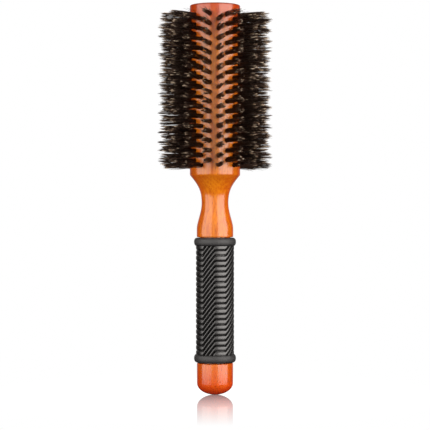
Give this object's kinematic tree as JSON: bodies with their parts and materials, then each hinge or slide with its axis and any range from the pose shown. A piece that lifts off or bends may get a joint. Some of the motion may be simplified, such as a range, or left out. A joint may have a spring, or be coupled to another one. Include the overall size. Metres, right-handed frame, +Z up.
{
  "type": "round barrel hair brush",
  "caption": "Round hair brush with rows of bristle tufts round a turned wooden barrel, a waisted neck, a ridged rubber grip sleeve between plain collars, and a domed butt.",
  "frame": {"origin": "the lowest point of the domed butt, on the brush's axis", "axes": "+Z along the brush's axis from the butt to the barrel's flat end; -Y towards the bare lane between the first and the last row of tufts; +X to the right of that lane seen from -Y with +Z up"},
  "size_m": [0.0656, 0.0652, 0.235],
  "materials": {
    "hardwood": "stained orange brown under a clear gloss lacquer",
    "grip_rubber": "moulded, satin",
    "bristle": "natural boar bristle, near black with paler tips"
  },
  "bodies": {
    "root": {"wood_body": "hardwood", "grip_sleeve": "grip_rubber", "bristle_row_01": "bristle", "bristle_row_02": "bristle", "bristle_row_03": "bristle", "bristle_row_04": "bristle", "bristle_row_05": "bristle", "bristle_row_06": "bristle", "bristle_row_07": "bristle", "bristle_row_08": "bristle", "bristle_row_09": "bristle", "bristle_row_10": "bristle", "bristle_row_11": "bristle", "bristle_row_12": "bristle", "bristle_row_13": "bristle", "bristle_row_14": "bristle", "bristle_row_15": "bristle", "bristle_row_16": "bristle", "bristle_row_17": "bristle", "bristle_row_18": "bristle"}
  },
  "joints": []
}
